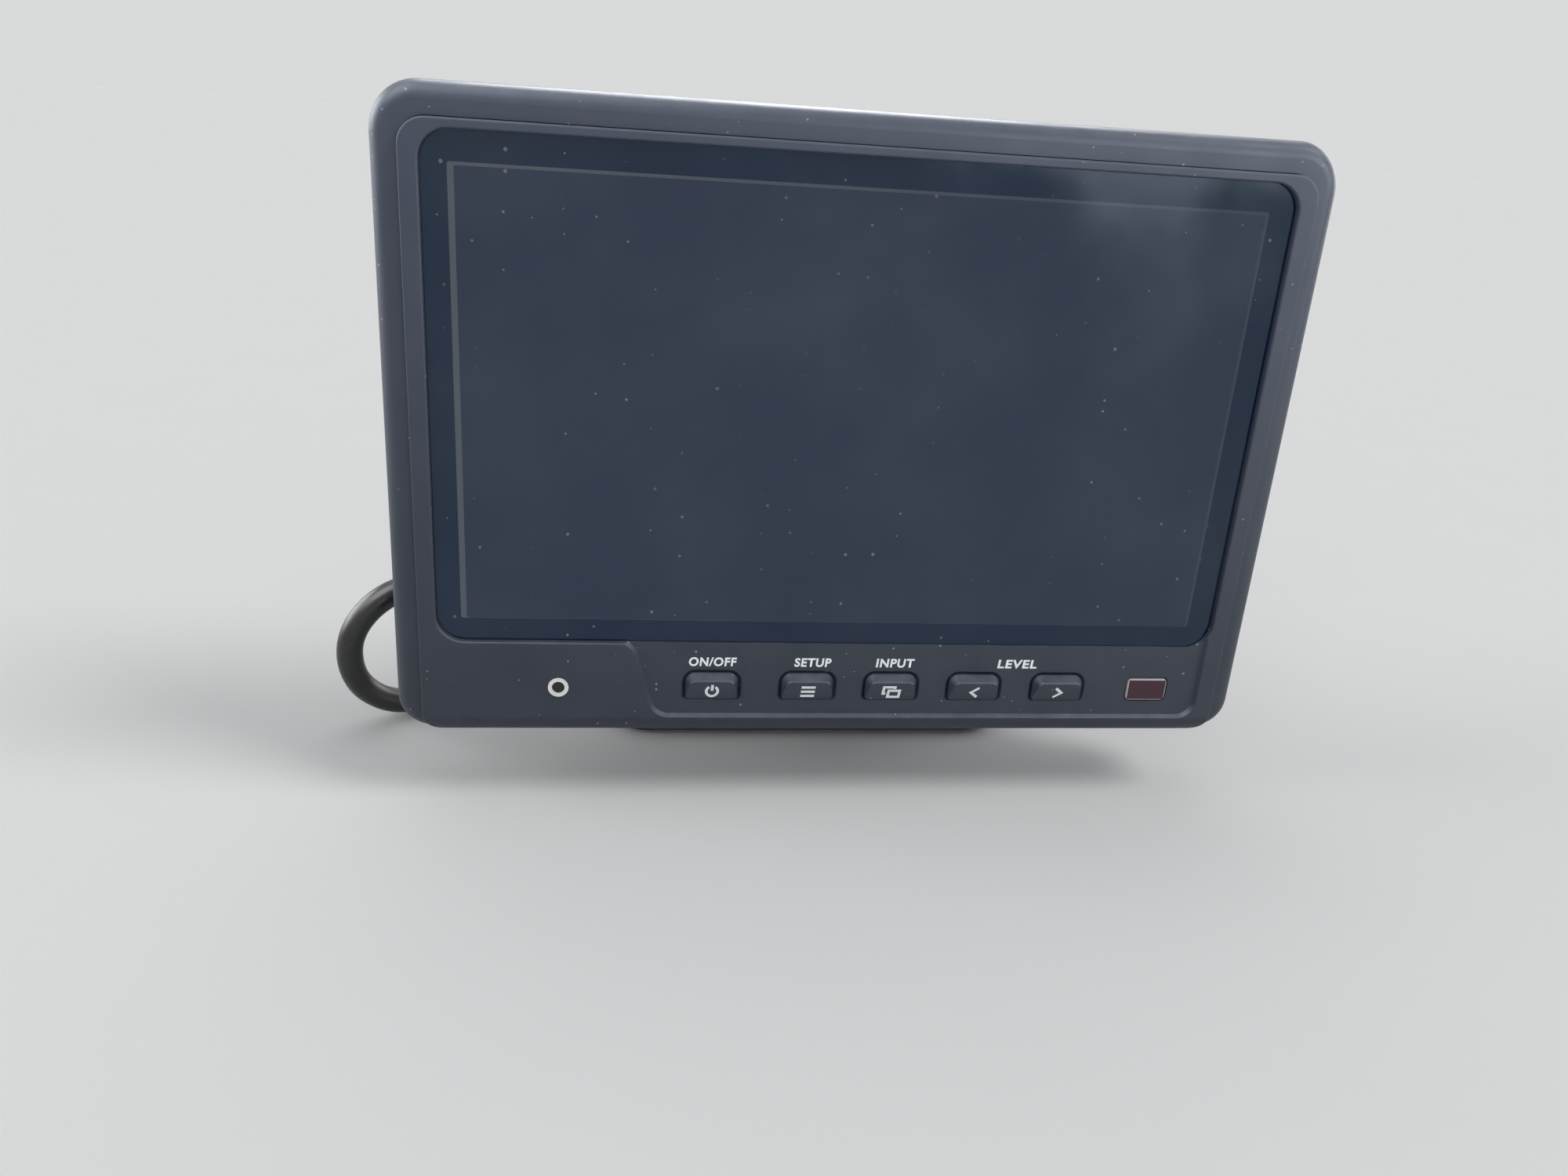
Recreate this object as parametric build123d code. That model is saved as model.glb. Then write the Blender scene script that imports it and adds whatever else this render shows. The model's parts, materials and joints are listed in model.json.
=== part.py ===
from build123d import *
import os
from math import sin, cos, tan, radians, pi

# Rear-view camera monitor for a truck's dashboard, on its tilting stand, with its lead.
# Millimetres. +X is right and -Y is towards the viewer. +Z is up.
# The origin is the centre of the base's screw pattern, on the underside.
# "Depth" counts back from the bezel's front, and "height" counts up from the screen's centre.

os.makedirs("parts", exist_ok=True)

# Stand and floor
base_w = 96.0
base_l = 84.0
base_t = 4.0
base_corner = 10.0
base_edge_round = 1.2
pad_t = 1.0
pad_inset = 1.5
screw_spacing_x = 76.0
screw_spacing_y = 60.0
screw_hole_r = 2.25
screw_head_r = 4.4
screw_sink = 2.2
base_setback = 30.0
housing_clear = 16.0

# How far a cutter runs past the face that it opens
cut_past = 1.0

# Housing
housing_w = 182.0
housing_top = 56.9
housing_bottom = -68.7
housing_top_corner = 9.0
housing_bottom_corner = 7.0
housing_d = 29.0
rim_d = 16.0
rim_start = 1.6
rim_round = 3.2
rim_back_round = 3.0
wall_t = 2.2
back_margin_side = 9.0
back_margin_end = 7.0
back_draft = 5.0
back_corner = 10.0
back_round = 3.0

# Bezel and glass
bezel_w = 171.6
bezel_top = 50.9
bezel_corner = 5.0
bezel_t = 5.0
bezel_fit = 0.15
bezel_ledge = 1.6
bezel_edge = 0.45
chin_curve_top = -64.9
chin_curve_r = 4.6
chin_curve_lead = 3.0
chin_curve_turn = 75.0
window_w = 164.4
window_top = 49.1
window_bottom = -48.0
window_corner = 5.5
window_edge = 0.4
glass_depth = 1.3
glass_t = 1.6
glass_rebate = 1.0
glass_fit = 0.1
panel_gap = 0.3
panel_w = 161.0
panel_h = 95.0
panel_t = 5.2
panel_corner = 2.0

# Control pocket in the chin
pocket_depth = 0.8
pocket_slope = 0.7
pocket_right = 81.85
pocket_bottom = -64.95
step_top_x = -43.55
step_bottom_x = -38.6
step_lead_in = 8.0
step_top_round = 4.0
step_bottom_round = 4.5
pocket_corner = 4.0
key_w = 11.1
key_top = -54.9
key_bottom = -60.9
key_corner = 2.0
key_foot_corner = 0.8
key_fit = 0.12
key_dish = 0.75
key_dish_d = 0.6
key_proud = 2.2
key_draft = 22.0
key_crest = 1.4
key_edge = 0.3
key_stem_out = 1.0
key_places = {
    "button_power": -26.4,
    "button_menu": -6.0,
    "button_source": 12.1,
    "button_down": 30.5,
    "button_up": 49.3,
}
infrared_w = 9.0
infrared_h = 5.1
infrared_x = 69.9
infrared_height = -58.1
infrared_corner = 0.9
infrared_t = 2.0
infrared_proud = 0.35
infrared_edge = 0.3
infrared_gap = 0.35
infrared_fit = 0.1
sensor_x = -58.2
sensor_height = -58.0
sensor_ring_r = 2.1
sensor_lens_r = 1.3
sensor_proud = 0.15

# Parts behind the back wall
board_w = 128.0
board_h = 66.0
board_t = 1.6
board_corner = 2.0
boss_r = 3.0
boss_h = 5.0
boss_inset = 6.0
speaker_r = 13.0
speaker_t = 6.0
speaker_x = 48.0
speaker_height = -24.0

# Openings and screw towers in the back wall
vent_x = 48.0
vent_height = 20.0
vent_w = 28.0
vent_slot_h = 2.0
vent_pitch = 4.6
vent_count = 6
grille_hole_r = 1.1
grille_pitch = 4.2
grille_ring_count = 3
tower_r = 4.3
tower_bore_r = 2.9
tower_bore_d = 8.0
tower_inset = 8.5
tower_end = 18.0

# Slide mount on the back
socket_w = 54.0
socket_h = 58.0
socket_height = -7.3
socket_floor_t = 2.0
socket_lip_t = 2.0
socket_wall_t = 6.0
socket_corner = 4.0
socket_edge = 1.0
flange_w = 41.0
flange_h = 50.0
flange_t = 2.4
flange_corner = 1.0
slide_fit = 0.15
neck_w = 26.0
neck_inset = 2.0
neck_end = 39.0
lip_fit = 0.5

# Tilt hinge
hinge_depth = 55.0
hinge_z = 68.0
tongue_w = 12.0
tongue_r = 10.5
ear_t = 6.5
ear_r = 11.0
ear_gap = 0.3
bolt_r = 3.0
bolt_fit = 0.05
bolt_end = 1.5
washer_r = 6.5
washer_t = 1.2
knob_r = 12.0
knob_t = 13.0
knob_lobes = 5
knob_scallop_r = 4.5
knob_scallop_out = 2.5
knob_edge = 1.2
knob_hub_r = 7.0
knob_hub_t = 1.5
knob_cap_t = 3.0
nut_flats = 10.0
nut_t = 5.0
nut_chamfer = 0.7

# Post
foot_w = 46.0
foot_l = 40.0
foot_t = 5.0
foot_corner = 6.0
foot_edge = 2.0
foot_fillet = 4.0
column_foot_w = 32.0
column_foot_l = 26.0
column_top_w = 25.6
column_top_l = 20.0
column_corner = 5.0
column_top_z = 52.0
slot_floor_z = 54.0

# Lead
lead_r = 2.9
lead_start_x = -66.0
lead_start_depth = 40.0
lead_start_z = 34.5
outlet_w = 16.0
outlet_h = 14.0
outlet_back = 46.5
outlet_x = -38.0
outlet_round = 3.0
outlet_edge = 2.0
boot_root_r = 5.2
boot_tip_r = 3.7
boot_groove_count = 5
boot_groove_w = 1.2
boot_groove_d = 0.8
coil_r = 33.0
coil_x = 0.0
coil_depth = 160.0
coil_layers = 2
coil_clearance = 0.1

# Connector
plug_r = 8.0
plug_grip_l = 30.0
plug_neck_r = 4.2
plug_collar_r = 5.2
plug_collar_l = 8.0
plug_shoulder_l = 13.0
plug_flute_count = 12
plug_flute_r = 0.9
plug_flute_l = 11.0
plug_lip = 1.0
plug_shell_l = 12.0
plug_shell_r = 6.6
plug_wall_t = 0.9
plug_face_l = 6.0
pin_count = 8
pin_r = 0.5
pin_l = 4.0
pin_ring_r = 3.4
plug_x = 58.0
plug_depth = 120.0

# Places that follow from the sizes above
front_y = -base_l / 2 - base_setback
base_top = pad_t + base_t
screen_z = housing_clear - housing_bottom
hinge_y = front_y + hinge_depth
housing_h = housing_top - housing_bottom
housing_centre = (0, (housing_top + housing_bottom) / 2)
bezel_h = bezel_top - housing_bottom
bezel_centre = (0, (bezel_top + housing_bottom) / 2)
window_h = window_top - window_bottom
window_centre = (0, (window_top + window_bottom) / 2)
panel_depth = glass_depth + glass_t + panel_gap
key_centre_height = (key_top + key_bottom) / 2
socket_top = socket_height + socket_h / 2 - socket_wall_t
head_half = tongue_w / 2 + ear_gap + ear_t


def at_depth(depth):
    """Plane parallel to the screen: x is right and y is up from the screen's centre, facing the viewer."""
    return Plane(origin=(0, front_y + depth, screen_z), x_dir=(1, 0, 0), z_dir=(0, -1, 0))


def between(outline, near, far):
    """Solid of a flat outline between two depths."""
    return extrude(at_depth(far) * outline, amount=far - near)


def slab(width, height, corner, near, far, centre=(0, 0)):
    """Rounded plate parallel to the screen."""
    return between(Pos(*centre) * RectangleRounded(width, height, corner), near, far)


def two_corner_outline(width, height, top_corner, bottom_corner):
    """Rectangle with one radius on its upper corners and another on its lower ones."""
    outline = Rectangle(width, height)
    outline = fillet(outline.vertices().group_by(Axis.Y)[-1], top_corner)
    return fillet(outline.vertices().group_by(Axis.Y)[0], bottom_corner)


def frustum(near_size, far_size, corner, near, far, centre):
    """Plate whose sides draw in from one depth to the other."""
    near_face = at_depth(near) * Pos(*centre) * RectangleRounded(*near_size, corner)
    far_face = at_depth(far) * Pos(*centre) * RectangleRounded(*far_size, corner)
    return loft([near_face.face(), far_face.face()])


def front_edges(solid):
    """Edges in the solid's frontmost plane."""
    return solid.edges().group_by(Axis.Y)[0]


def back_edges(solid):
    """Edges in the solid's rearmost plane."""
    return solid.edges().group_by(Axis.Y)[-1]


def front_bezel():
    """Front frame, proud of the rim: window, glass rebate, control pocket and key holes."""
    body = slab(bezel_w, bezel_h, bezel_corner, 0, bezel_t, bezel_centre)
    body = fillet(front_edges(body), bezel_edge)
    body -= chin_curve()
    body -= slab(window_w, window_h, window_corner, -cut_past, bezel_t + cut_past, window_centre)
    front = body.faces().sort_by(Axis.Y)[0]
    body = fillet(front.inner_wires()[0].edges(), window_edge)
    rebate = 2 * glass_rebate
    body -= slab(window_w + rebate, window_h + rebate, window_corner + glass_rebate,
                 glass_depth, bezel_t + cut_past, window_centre)
    body -= control_pocket()
    for x in key_places.values():
        body -= key_hole(x)
    body -= infrared_hole()
    body -= between(Pos(sensor_x, sensor_height) * Circle(sensor_ring_r), -cut_past, bezel_t + cut_past)
    return body


def chin_curve():
    """Waste in front of the curve that takes the chin back to the underside."""
    lead = radians(chin_curve_lead)
    start = (0, chin_curve_top)
    curve = JernArc(start, (sin(lead), -cos(lead)), chin_curve_r, chin_curve_turn)
    end = curve @ 1
    around = Polyline((end.X, end.Y), (-cut_past, end.Y), (-cut_past, chin_curve_top), start)
    side = Plane(origin=(-bezel_w, front_y, screen_z), x_dir=(0, 1, 0), z_dir=(1, 0, 0))
    return extrude(side * make_face(curve + around), amount=2 * bezel_w)


def control_pocket():
    """Recess round the keys: an S-shaped step on the left, open into the window, with sloping walls."""
    above = window_bottom + window_corner + cut_past
    below = window_bottom + glass_fit
    corners = [
        (step_top_x - step_lead_in, below),
        (step_top_x, below),
        (step_bottom_x, pocket_bottom),
        (pocket_right, pocket_bottom),
        (pocket_right, above),
        (step_top_x - step_lead_in, above),
    ]
    outline = make_face(Polyline(*corners, close=True))
    rounds = [(1, step_top_round), (2, step_bottom_round), (3, pocket_corner)]
    for index, radius in rounds:
        x, y = corners[index]
        vertex = outline.vertices().sort_by_distance((x, y, 0))[0]
        outline = fillet(vertex, radius)
    floor = offset(outline, -pocket_slope)
    return loft([(at_depth(0) * outline).face(), (at_depth(pocket_depth) * floor).face()])


def key_outline(x):
    """Outline of a key where it passes the pocket's floor."""
    return Pos(x, key_centre_height) * two_corner_outline(
        key_w, key_top - key_bottom, key_corner, key_foot_corner)


def key_hole(x):
    """Hole that fits a key, dished above and beside it and plain at its foot."""
    tight = key_opening(x, key_fit)
    dish_end = pocket_depth + key_dish_d
    dish = loft([(at_depth(pocket_depth) * key_opening(x, key_dish)).face(),
                 (at_depth(dish_end) * tight).face()])
    return dish + between(tight, -cut_past, bezel_t + cut_past)


def key_opening(x, room):
    """Key's outline with room above and beside it, and the hole's own fit at its foot."""
    height = key_top - key_bottom + room + key_fit
    middle = key_centre_height + (room - key_fit) / 2
    return Pos(x, middle) * two_corner_outline(
        key_w + 2 * room, height, key_corner + room, key_foot_corner)


def key(x):
    """Wedge key with drafted sides: proud at its top edge and level with the pocket at its foot."""
    stem = between(key_outline(x), pocket_depth, bezel_t + key_stem_out)
    cap = extrude(at_depth(pocket_depth) * key_outline(x), amount=key_proud, taper=key_draft)
    crest_depth = pocket_depth - key_proud
    crest_height = key_top - key_crest
    waste = make_face(Polyline(
        (crest_depth, crest_height),
        (pocket_depth, key_bottom),
        (pocket_depth, key_bottom - cut_past),
        (crest_depth - cut_past, key_bottom - cut_past),
        (crest_depth - cut_past, crest_height),
        close=True,
    ))
    side = Plane(origin=(x - key_w, front_y, screen_z), x_dir=(0, 1, 0), z_dir=(1, 0, 0))
    body = stem + cap - extrude(side * waste, amount=2 * key_w)
    return fillet(front_edges(body), key_edge)


def infrared_hole():
    """Hole of the receiver's filter, with a shallow gap round its front."""
    place = (infrared_x, infrared_height)
    hole = slab(infrared_w + 2 * infrared_fit, infrared_h + 2 * infrared_fit, infrared_corner,
                -cut_past, bezel_t + cut_past, place)
    gap = slab(infrared_w + 2 * infrared_gap, infrared_h + 2 * infrared_gap, infrared_corner + infrared_gap,
               -cut_past, pocket_depth + infrared_gap, place)
    return hole + gap


def infrared_window():
    """Dark filter over the remote control's receiver, just proud of the pocket."""
    near = pocket_depth - infrared_proud
    place = (infrared_x, infrared_height)
    plate = slab(infrared_w, infrared_h, infrared_corner, near, near + infrared_t, place)
    return fillet(front_edges(plate), infrared_edge)


def light_sensor():
    """White ring and dark lens on the left of the chin."""
    ring = Circle(sensor_ring_r) - Circle(sensor_lens_r)
    lens = Circle(sensor_lens_r)
    ring_solid = between(Pos(sensor_x, sensor_height) * ring, -sensor_proud, bezel_t)
    lens_solid = between(Pos(sensor_x, sensor_height) * lens, sensor_proud, bezel_t)
    return ring_solid, lens_solid


def cover_glass():
    """Front glass, behind the window's edge."""
    grow = 2 * (glass_rebate - glass_fit)
    return slab(window_w + grow, window_h + grow, window_corner + glass_rebate - glass_fit,
                glass_depth, glass_depth + glass_t, window_centre)


def display_panel():
    """Panel module close behind the glass, with bosses that carry the board."""
    far = panel_depth + panel_t
    body = slab(panel_w, panel_h, panel_corner, panel_depth, far)
    for place in GridLocations(board_w - 2 * boss_inset, board_h - 2 * boss_inset, 2, 2):
        body += between(place * Circle(boss_r), far, far + boss_h)
    return body


def circuit_board():
    """Board on the panel's bosses, seen through the vents."""
    near = panel_depth + panel_t + boss_h
    return slab(board_w, board_h, board_corner, near, near + board_t)


def back_sizes(inset):
    """Sizes of the raised back at its root and at its face, drawn in by an inset."""
    root_w = housing_w - 2 * (back_margin_side + inset)
    root_h = housing_h - 2 * (back_margin_end + inset)
    return (root_w, root_h), (root_w - 2 * back_draft, root_h - 2 * back_draft)


def rear_housing():
    """Deep rear shell: its rim wraps the bezel's top and sides, and its back carries vents and outlet."""
    outline = two_corner_outline(housing_w, housing_h, housing_top_corner, housing_bottom_corner)
    rim = between(Pos(*housing_centre) * outline, rim_start, rim_d)
    rim = fillet(front_edges(rim), rim_round)
    rim = fillet(back_edges(rim), rim_back_round)
    raised = frustum(*back_sizes(0), back_corner, rim_d - cut_past, housing_d, housing_centre)
    raised = fillet(back_edges(raised), back_round)
    body = rim + raised + cable_outlet()
    fit = 2 * bezel_fit
    body -= slab(bezel_w + fit, bezel_h + fit, bezel_corner + bezel_fit, 0, bezel_t, bezel_centre)
    body -= rim_opening()
    hollow_w = bezel_w - 2 * bezel_ledge
    hollow_h = bezel_h - 2 * bezel_ledge
    body -= slab(hollow_w, hollow_h, bezel_corner, 0, rim_d - wall_t, bezel_centre)
    body -= frustum(*back_sizes(wall_t), back_corner - wall_t, rim_d - wall_t - cut_past,
                    housing_d - wall_t, housing_centre)
    for side in (-1, 1):
        body -= vent_slots(side * vent_x)
    body -= speaker_grille()
    towers = tower_places()
    body += between(Sketch() + [place * Circle(tower_r) for place in towers], tower_end, housing_d - wall_t)
    body -= between(Sketch() + [place * Circle(tower_bore_r) for place in towers],
                    housing_d - tower_bore_d, housing_d + cut_past)
    return body


def rim_opening():
    """Gap in the rim under the bezel, whose chin runs down to the underside."""
    straight = housing_w - 2 * housing_bottom_corner
    return between(Pos(0, housing_bottom) * Rectangle(straight, 2 * bezel_corner), 0, bezel_t)


def tower_places():
    """Places of the screw towers that hold the two shells together."""
    face_w, face_h = back_sizes(0)[1]
    x, y = housing_centre
    grid = GridLocations(face_w - 2 * tower_inset, face_h - 2 * tower_inset, 2, 2)
    return [Pos(x, y) * place for place in grid]


def vent_slots(x):
    """Column of horizontal slots through the back wall."""
    slots = Sketch()
    for index in range(vent_count):
        y = vent_height + (index - (vent_count - 1) / 2) * vent_pitch
        slots += Pos(x, y) * SlotOverall(vent_w, vent_slot_h)
    return between(slots, housing_d - 2 * wall_t, housing_d + cut_past)


def speaker_grille():
    """Round holes in rings through the back wall."""
    centre = Pos(speaker_x, speaker_height)
    holes = Sketch() + centre * Circle(grille_hole_r)
    for ring in range(1, grille_ring_count):
        holes += centre * PolarLocations(ring * grille_pitch, 6 * ring) * Circle(grille_hole_r)
    return between(holes, housing_d - 2 * wall_t, housing_d + cut_past)


def speaker():
    """Loudspeaker on the inside of its grille."""
    far = housing_d - wall_t
    return between(Pos(speaker_x, speaker_height) * Circle(speaker_r), far - speaker_t, far)


def cable_outlet():
    """Moulded block on the back that turns the lead to the side."""
    height = lead_start_z - screen_z
    block = slab(outlet_w, outlet_h, outlet_round, housing_d - wall_t, outlet_back, (outlet_x, height))
    return fillet(back_edges(block), outlet_edge)


def cable_boot():
    """Tapered strain relief with grooves round it, between the outlet and the lead."""
    root_x = outlet_x - outlet_w / 2
    length = root_x - lead_start_x
    profile = make_face(Polyline((0, 0), (boot_root_r, 0), (boot_tip_r, length), (0, length), close=True))
    pitch = length / (boot_groove_count + 1)
    for index in range(1, boot_groove_count + 1):
        along = index * pitch
        radius = boot_root_r + (boot_tip_r - boot_root_r) * along / length
        profile -= Pos(radius, along) * Rectangle(2 * boot_groove_d, boot_groove_w)
    boot = revolve(Plane.XZ * profile, axis=Axis.Z)
    return Location((root_x, front_y + lead_start_depth, lead_start_z), (0, -90, 0)) * boot


def mount_socket():
    """Slide mount on the back: a floor, two rails with lips and a closed top."""
    near = housing_d
    lip_near = near + socket_floor_t + flange_t + 2 * slide_fit
    far = lip_near + socket_lip_t
    body = slab(socket_w, socket_h, socket_corner, near, far, (0, socket_height))
    body = fillet(back_edges(body), socket_edge)
    channel_w = flange_w + 2 * slide_fit
    bottom = socket_height - socket_h / 2 - cut_past
    place = Pos(0, (socket_top + bottom) / 2)
    body -= between(place * Rectangle(channel_w, socket_top - bottom), near + socket_floor_t, lip_near)
    body -= between(place * Rectangle(neck_w + 2 * lip_fit, socket_top - bottom),
                    near + socket_floor_t, far + cut_past)
    return body


def slide_plate():
    """Bracket's head: a flange in the slide mount, a neck past its lips and the hinge tongue."""
    near = housing_d + socket_floor_t
    flange = slab(flange_w, flange_h, flange_corner, near, near + flange_t, (0, socket_top - flange_h / 2))
    neck_h = flange_h - 2 * neck_inset
    neck = slab(neck_w, neck_h, neck_inset, near + flange_t, neck_end, (0, socket_top - flange_h / 2))
    neck_y = front_y + neck_end - slide_fit
    arm = Plane.YZ * Pos(hinge_y, hinge_z) * Circle(tongue_r)
    arm += Plane.YZ * Pos((hinge_y + neck_y) / 2, hinge_z) * Rectangle(hinge_y - neck_y, 2 * tongue_r)
    tongue = Pos(-tongue_w / 2, 0, 0) * extrude(arm, amount=tongue_w)
    return flange + neck + tongue - hinge_round(bolt_r + bolt_fit, -tongue_w, tongue_w)


def base_plate():
    """Steel plate with four countersunk screw holes."""
    body = extrude(Pos(0, 0, pad_t) * RectangleRounded(base_w, base_l, base_corner), amount=base_t)
    body = fillet(body.edges().group_by(Axis.Z)[-1], base_edge_round)
    for place in GridLocations(screw_spacing_x, screw_spacing_y, 2, 2):
        body -= place * Pos(0, 0, base_top) * screw_hole()
    return body


def screw_hole():
    """Through hole with a cone for the screw's head, from the plate's top face down."""
    hole = Cylinder(screw_hole_r, 2 * (base_t + cut_past))
    cone = Pos(0, 0, -screw_sink / 2) * Cone(screw_hole_r, screw_head_r, screw_sink)
    return hole + cone


def base_pad():
    """Foam pad under the plate."""
    outline = RectangleRounded(base_w - 2 * pad_inset, base_l - 2 * pad_inset, base_corner - pad_inset)
    for place in GridLocations(screw_spacing_x, screw_spacing_y, 2, 2):
        outline -= place * Circle(screw_hole_r)
    return extrude(outline, amount=pad_t)


def stand_post():
    """Cast post: foot, tapered column and the two ears of the hinge."""
    foot_top = base_top + foot_t
    foot = extrude(Pos(0, hinge_y, base_top) * RectangleRounded(foot_w, foot_l, foot_corner), amount=foot_t)
    foot = fillet(foot.edges().group_by(Axis.Z)[-1], foot_edge)
    low = Pos(0, hinge_y, foot_top) * RectangleRounded(column_foot_w, column_foot_l, column_corner)
    high = Pos(0, hinge_y, column_top_z) * RectangleRounded(column_top_w, column_top_l, column_corner)
    body = foot + loft([low.face(), high.face()])
    deck = body.faces().filter_by(Axis.Z).sort_by(Axis.Z)[1]
    body = fillet(deck.inner_wires()[0].edges(), foot_fillet)
    ear = Plane.YZ * Pos(hinge_y, hinge_z) * Circle(ear_r)
    ear_h = hinge_z - column_top_z
    ear += Plane.YZ * Pos(hinge_y, hinge_z - ear_h / 2) * Rectangle(2 * ear_r, ear_h)
    body += Pos(-head_half, 0, 0) * extrude(ear, amount=2 * head_half)
    slot_top = hinge_z + 2 * ear_r
    body -= Pos(0, hinge_y, (slot_floor_z + slot_top) / 2) * Box(
        tongue_w + 2 * ear_gap, 4 * ear_r, slot_top - slot_floor_z)
    return body - hinge_round(bolt_r + bolt_fit, -2 * head_half, 2 * head_half)


def hinge_round(radius, start, end):
    """Round bar on the hinge axis between two x positions."""
    return Location(((start + end) / 2, hinge_y, hinge_z), (0, 90, 0)) * Cylinder(radius, end - start)


def hinge_bar(outline, start, length):
    """Bar on the hinge axis with another outline."""
    return Pos(start, 0, 0) * extrude(Plane.YZ * Pos(hinge_y, hinge_z) * outline, amount=length)


def tilt_hardware():
    """Bolt, washers, lock nut and clamp knob on the hinge axis."""
    left_face = -head_half - washer_t
    right_face = head_half + washer_t
    knob_end = right_face + knob_t
    bolt = hinge_round(bolt_r, left_face - nut_t - bolt_end, knob_end - knob_cap_t)
    hole = hinge_round(bolt_r, -2 * head_half, 2 * head_half)
    left_washer = hinge_round(washer_r, left_face, -head_half) - hole
    right_washer = hinge_round(washer_r, head_half, right_face) - hole
    blank = hinge_round(nut_flats / 2 / cos(radians(30)), left_face - nut_t, left_face)
    blank = chamfer(blank.edges().group_by(Axis.X)[0], nut_chamfer)
    hexagon = RegularPolygon(nut_flats / 2, 6, major_radius=False)
    nut = (hinge_bar(hexagon, left_face - nut_t, nut_t) & blank) - hole
    rim = Circle(knob_r)
    for place in PolarLocations(knob_r + knob_scallop_out, knob_lobes):
        rim -= place * Circle(knob_scallop_r)
    grip = hinge_bar(rim, right_face + knob_hub_t, knob_t - knob_hub_t)
    grip = fillet(grip.edges().group_by(Axis.X)[-1], knob_edge)
    grip += hinge_round(knob_hub_r, right_face, right_face + knob_hub_t)
    knob = grip - hinge_round(bolt_r, right_face - cut_past, knob_end - knob_cap_t)
    return bolt, left_washer, right_washer, nut, knob


# Lead's route: x, depth and height above the floor
lead_route = [
    (lead_start_x, lead_start_depth, lead_start_z),
    (-81.0, lead_start_depth, lead_start_z),
    (-96.0, 32.5, 35.8),
    (-106.2, 30.0, 25.8),
    (-106.4, 33.0, 11.4),
    (-97.5, 38.5, lead_r),
    (-86.0, 49.0, lead_r),
    (-76.5, 65.0, lead_r),
    (-70.0, 84.0, lead_r),
    (-62.0, 104.0, lead_r),
    (-50.0, 122.0, lead_r),
    (-37.0, 138.0, lead_r),
    (-33.2, 156.0, lead_r),
]


def soft_path(points):
    """Straight runs joined by arcs as large as the runs allow, and the arcs' radii."""
    corners = [Vector(*point) for point in points]
    radii = []
    for before, corner, after in zip(corners, corners[1:], corners[2:]):
        turn = radians((corner - before).get_angle(after - corner))
        shorter = min((corner - before).length, (after - corner).length)
        radii.append(0.45 * shorter / tan(turn / 2))
    return FilletPolyline(*corners, radius=radii), radii


def tube(points, radius):
    """Round tube along a soft path."""
    path, radii = soft_path(points)
    section = Plane(origin=path @ 0, z_dir=path % 0) * Circle(radius)
    solid = sweep(section, path=path)
    expected = pi * radius ** 2 * path.length
    print(f"tube length {path.length:.1f} mm, volume {solid.volume / expected:.4f} of section times length")
    print("radii in diameters:", [round(r / (2 * radius), 1) for r in radii])
    return solid


def lead_points():
    """The route in the part's own frame."""
    return [(x, front_y + depth, z) for x, depth, z in lead_route]


def lead_coil():
    """Outer shape of the coiled length."""
    width = 4 * lead_r
    height = 2 * lead_r * coil_layers
    section = Plane.XZ * Pos(coil_r, height / 2) * RectangleRounded(width, height, lead_r - coil_clearance)
    ring = revolve(section, axis=Axis.Z)
    return Pos(coil_x, front_y + coil_depth, 0) * ring


tail_route = [
    (35.6, 158.0, 8.7),
    (37.5, 148.0, 7.8),
    (45.0, 140.5, 6.4),
    (53.5, 135.5, 6.6),
    (plug_x, 128.0, plug_r),
    (plug_x, plug_depth, plug_r),
]


def tail_points():
    """Short free end from the coil to the connector, in the part's own frame."""
    return [(x, front_y + depth, z) for x, depth, z in tail_route]


def connector():
    """Round multi-pin connector: grip, shell and contacts, lying along Y."""
    lay = Location((plug_x, front_y + plug_depth, plug_r), (90, 0, 0))
    profile = Polyline(
        (0, 0),
        (plug_neck_r, 0),
        (plug_collar_r, plug_collar_l),
        (plug_r, plug_shoulder_l),
        (plug_r, plug_grip_l - plug_lip),
        (plug_r - plug_lip, plug_grip_l),
        (0, plug_grip_l),
        close=True,
    )
    grip = revolve(Plane.XZ * make_face(profile), axis=Axis.Z)
    flute_z = (plug_shoulder_l + plug_grip_l) / 2
    for place in PolarLocations(plug_r + plug_flute_r / 2, plug_flute_count):
        grip -= Pos(0, 0, flute_z) * place * Cylinder(plug_flute_r, plug_flute_l)
    bore_r = plug_shell_r - plug_wall_t
    shell = Pos(0, 0, plug_grip_l + plug_shell_l / 2) * (
        Cylinder(plug_shell_r, plug_shell_l) - Cylinder(bore_r, plug_shell_l))
    face = Pos(0, 0, plug_grip_l + plug_face_l / 2) * Cylinder(bore_r, plug_face_l)
    for place in PolarLocations(pin_ring_r, pin_count):
        face += Pos(0, 0, plug_grip_l + plug_face_l + pin_l / 2) * place * Cylinder(pin_r, pin_l)
    return lay * grip, lay * shell, lay * face


def save(name, solid):
    """Write one sub-part."""
    export_step(solid, f"parts/{name}.step")
    print(f"{name}: {solid.volume / 1000:.2f} cm3")


ring, lens = light_sensor()
bolt, left_washer, right_washer, nut, knob = tilt_hardware()
plug_grip, plug_shell, plug_contacts = connector()

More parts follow.
